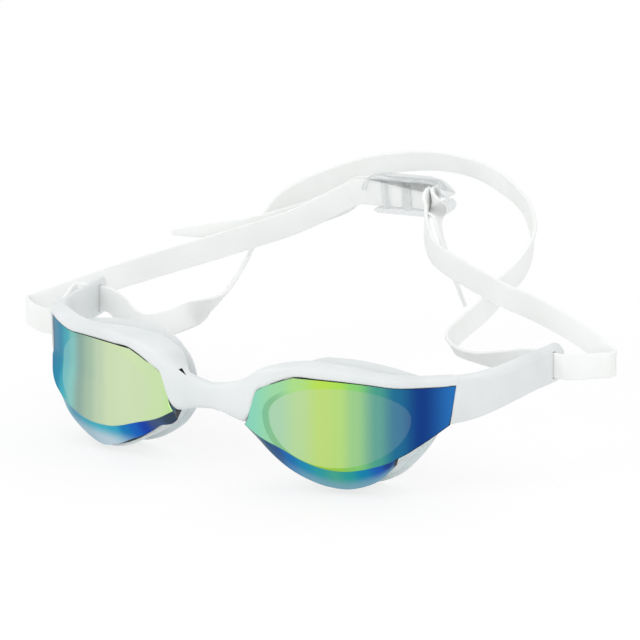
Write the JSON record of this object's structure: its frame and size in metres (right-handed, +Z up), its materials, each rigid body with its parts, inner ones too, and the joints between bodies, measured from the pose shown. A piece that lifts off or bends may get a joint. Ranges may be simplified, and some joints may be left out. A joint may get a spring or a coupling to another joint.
{
  "type": "swim goggles",
  "caption": "Racing swim goggles: a wraparound frame with a nose bridge holds mirrored lens cups with soft gaskets; a flat strap runs double from the arms to a clip at the back.",
  "frame": {"origin": "middle of the face side, halfway between the two gaskets' sealing faces", "axes": "+X to the side of lens_right, +Y back towards the head, +Z up when worn"},
  "size_m": [0.2028, 0.1339, 0.0689],
  "materials": {
    "frame_rubber": "smooth white moulded, satin",
    "mirror_lens": "green to blue mirror coating over dark smoke",
    "gasket_silicone": "translucent pale grey-green silicone",
    "strap_silicone": "matt white silicone",
    "clear_clip": "clear polycarbonate"
  },
  "bodies": {
    "front": {"frame": "frame_rubber", "lens_left": "mirror_lens", "lens_right": "mirror_lens", "gasket_left": "gasket_silicone", "gasket_right": "gasket_silicone", "strap_slot_left": "strap_silicone", "strap_slot_right": "strap_silicone"},
    "lower_strap": {"strap_inner": "strap_silicone"},
    "upper_strap": {"strap_outer_left": "strap_silicone", "strap_outer_right": "strap_silicone", "strap_end_left": "strap_silicone", "strap_end_right": "strap_silicone", "strap_clip": "clear_clip"}
  },
  "joints": [
    {"name": "lower_strap_swing", "type": "hinge", "parent": "front", "child": "lower_strap", "pos_m": [0, 0.043, 0.0074], "axis": [0.9996, 0, 0.0279], "range_deg": [-20, 0], "stiffness_Nm_per_rad": 0.08, "springref_deg": 3.44},
    {"name": "upper_strap_swing", "type": "hinge", "parent": "front", "child": "upper_strap", "pos_m": [0, 0.043, 0.0074], "axis": [0.9996, 0, 0.0279], "range_deg": [0, 20], "stiffness_Nm_per_rad": 0.08}
  ]
}
